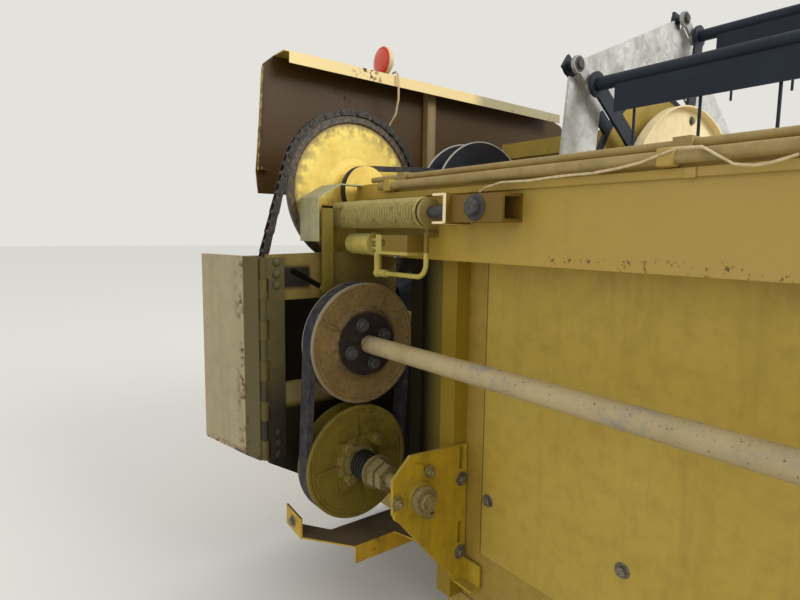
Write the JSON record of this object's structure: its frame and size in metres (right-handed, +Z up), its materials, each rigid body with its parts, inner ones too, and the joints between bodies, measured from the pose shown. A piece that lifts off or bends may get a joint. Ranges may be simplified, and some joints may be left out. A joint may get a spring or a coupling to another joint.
{
  "type": "combine harvester grain header",
  "caption": "Grain cutting header for a combine harvester, with auger, cutter bar, tined pick-up reel and belt and chain reel drive at its left end.",
  "frame": {"origin": "on the ground under the middle of the cutting width, at the rear face of the back sheet: the underside of the centre rear foot", "axes": "+X along the cutting width towards the header's right end, +Y forward in the direction of travel, +Z up"},
  "size_m": [4.732, 2.1731, 1.6207],
  "materials": {
    "bare_steel": "bare forged and worn steel, brown with surface rust",
    "belt_rubber": "dusty black belt rubber",
    "cable_sheath": "cream plastic cable sheath, dusty",
    "chain_steel": "roller chain caked with grease and dust",
    "cream": "pale cream-yellow paint, worn grey where it has been rubbed",
    "dusty_tan": "cast pulley under dust-coloured paint, rusty hub plate",
    "faded_yellow": "sun-faded ochre-yellow paint on folded sheet steel, dusty, worn at the edges",
    "galvanised": "hot-dip galvanised sheet",
    "lamp_red": "red-orange moulded reflector lens",
    "olive_yellow": "cast pulley in oily olive-yellow paint",
    "reel_black": "satin black paint on rolled steel",
    "rod_chrome": "hard-chromed cylinder rod",
    "tan_door": "dusty tan-beige faded paint, scuffed and rusty at the bends"
  },
  "bodies": {
    "header_frame": {"top_beam": "faded_yellow", "back_sheet": "faded_yellow", "rear_panels": "faded_yellow", "end_posts": "faded_yellow", "bottom_beam": "faded_yellow", "floor_pan": "faded_yellow", "feeder_frame": "faded_yellow", "end_sheets": "faded_yellow", "outrigger_tubes": "faded_yellow", "drive_column": "faded_yellow", "end_shield_left": "faded_yellow", "side_covers": "faded_yellow", "crop_dividers": "faded_yellow", "skid_shoes": "bare_steel", "cutter_bar": "bare_steel", "guards": "bare_steel", "knife_drive_box": "reel_black", "auger_bearings": "bare_steel", "tube_bearing": "faded_yellow", "drive_belt": "belt_rubber", "tension_bracket": "faded_yellow", "belt_guard": "faded_yellow", "reel_chain": "chain_steel", "beam_end_cover": "faded_yellow", "shift_lever": "faded_yellow", "tension_spring": "faded_yellow", "spring_rod": "bare_steel", "control_cylinder": "faded_yellow", "hydraulic_lines": "faded_yellow", "marker_lamp": "lamp_red", "lamp_cable": "cable_sheath", "door_hinge": "bare_steel"},
    "reel_lift": {"reel_arms": "faded_yellow", "reel_belt": "belt_rubber"},
    "knife": {"knife": "bare_steel"},
    "auger": {"auger": "faded_yellow", "auger_flights": "faded_yellow"},
    "lift_barrels": {"lift_barrels": "reel_black"},
    "lift_rods": {"lift_rods": "rod_chrome"},
    "reel": {"reel_tube": "cream", "reel_spiders": "reel_black", "reel_pulley": "faded_yellow"},
    "bat_1": {"bat_1": "reel_black"},
    "bat_2": {"bat_2": "reel_black"},
    "bat_3": {"bat_3": "reel_black"},
    "bat_4": {"bat_4": "reel_black"},
    "bat_5": {"bat_5": "reel_black"},
    "bat_6": {"bat_6": "reel_black"},
    "control_ring": {"control_ring": "galvanised", "control_arms": "reel_black"},
    "drive_shaft": {"drive_tube": "cream", "upper_pulley": "dusty_tan"},
    "lower_shaft": {"lower_shaft": "bare_steel", "lower_pulley": "olive_yellow", "clutch_spring": "chain_steel"},
    "chain_wheel": {"chain_wheel": "faded_yellow"},
    "chain_idler": {"chain_idler": "bare_steel"},
    "guide_pulley": {"guide_pulley": "reel_black"},
    "door": {"shield_door": "tan_door"}
  },
  "joints": [
    {"name": "drive_spin", "type": "hinge", "parent": "header_frame", "child": "drive_shaft", "pos_m": [-2.15, -0.134, 0.68], "axis": [1, 0, 0], "continuous": true},
    {"name": "lower_shaft_spin", "type": "hinge", "parent": "header_frame", "child": "lower_shaft", "pos_m": [-2.15, -0.152, 0.386], "axis": [1, 0, 0], "continuous": true},
    {"name": "chain_wheel_spin", "type": "hinge", "parent": "header_frame", "child": "chain_wheel", "pos_m": [-2.35, -0.041, 1.055], "axis": [1, 0, 0], "continuous": true},
    {"name": "chain_idler_spin", "type": "hinge", "parent": "header_frame", "child": "chain_idler", "pos_m": [-2.35, -0.285, 0.8], "axis": [1, 0, 0], "continuous": true},
    {"name": "reel_lift", "type": "hinge", "parent": "header_frame", "child": "reel_lift", "pos_m": [-2.4, -0.041, 1.055], "axis": [1, 0, 0], "range_deg": [0, 18]},
    {"name": "reel_spin", "type": "hinge", "parent": "reel_lift", "child": "reel", "pos_m": [0, 0.866, 1], "axis": [1, 0, 0], "continuous": true},
    {"name": "bat_1_turn", "type": "hinge", "parent": "reel", "child": "bat_1", "pos_m": [0, 0.41629, 1.33034], "axis": [1, 0, 0], "continuous": true},
    {"name": "bat_2_turn", "type": "hinge", "parent": "reel", "child": "bat_2", "pos_m": [0, 0.35506, 0.77571], "axis": [1, 0, 0], "continuous": true},
    {"name": "bat_3_turn", "type": "hinge", "parent": "reel", "child": "bat_3", "pos_m": [0, 0.80477, 0.44537], "axis": [1, 0, 0], "continuous": true},
    {"name": "bat_4_turn", "type": "hinge", "parent": "reel", "child": "bat_4", "pos_m": [0, 1.31571, 0.66966], "axis": [1, 0, 0], "continuous": true},
    {"name": "bat_5_turn", "type": "hinge", "parent": "reel", "child": "bat_5", "pos_m": [0, 1.37694, 1.22429], "axis": [1, 0, 0], "continuous": true},
    {"name": "bat_6_turn", "type": "hinge", "parent": "reel", "child": "bat_6", "pos_m": [0, 0.92723, 1.55463], "axis": [1, 0, 0], "continuous": true},
    {"name": "control_ring_spin", "type": "hinge", "parent": "reel_lift", "child": "control_ring", "pos_m": [-1.963, 0.806, 1.042], "axis": [1, 0, 0], "continuous": true},
    {"name": "guide_pulley_spin", "type": "hinge", "parent": "reel_lift", "child": "guide_pulley", "pos_m": [-2.303, 0.35827, 1.03079], "axis": [1, 0, 0], "continuous": true},
    {"name": "lift_barrel_swing", "type": "hinge", "parent": "header_frame", "child": "lift_barrels", "pos_m": [0, 0.11, 0.76], "axis": [1, 0, 0], "range_deg": [0, 17.57]},
    {"name": "lift_rod_slide", "type": "slide", "parent": "lift_barrels", "child": "lift_rods", "axis": [0, 0.9356, 0.3531], "range_m": [0, 0.1036]},
    {"name": "auger_spin", "type": "hinge", "parent": "header_frame", "child": "auger", "pos_m": [0, 0.245, 0.33], "axis": [1, 0, 0], "continuous": true},
    {"name": "knife_stroke", "type": "slide", "parent": "header_frame", "child": "knife", "axis": [1, 0, 0], "range_m": [-0.038, 0.038]},
    {"name": "door_swing", "type": "hinge", "parent": "header_frame", "child": "door", "pos_m": [-2.252, -0.351, 0.645], "axis": [0, 0, 1], "range_deg": [-9, 70]}
  ],
  "couplings": [
    {"joint": "drive_spin", "follows": "reel_spin", "ratio": 8.4276},
    {"joint": "lower_shaft_spin", "follows": "reel_spin", "ratio": 8.7243},
    {"joint": "chain_wheel_spin", "follows": "reel_spin", "ratio": 2.5758},
    {"joint": "chain_idler_spin", "follows": "reel_spin", "ratio": 12.02},
    {"joint": "bat_1_turn", "follows": "reel_spin", "ratio": -1},
    {"joint": "bat_2_turn", "follows": "reel_spin", "ratio": -1},
    {"joint": "bat_3_turn", "follows": "reel_spin", "ratio": -1},
    {"joint": "bat_4_turn", "follows": "reel_spin", "ratio": -1},
    {"joint": "bat_5_turn", "follows": "reel_spin", "ratio": -1},
    {"joint": "bat_6_turn", "follows": "reel_spin", "ratio": -1},
    {"joint": "control_ring_spin", "follows": "reel_spin", "ratio": 1},
    {"joint": "guide_pulley_spin", "follows": "reel_spin", "ratio": 1.7175},
    {"joint": "lift_barrel_swing", "follows": "reel_lift", "ratio": 0.97615},
    {"joint": "lift_rod_slide", "follows": "reel_lift", "m_per_rad": 0.32976}
  ]
}
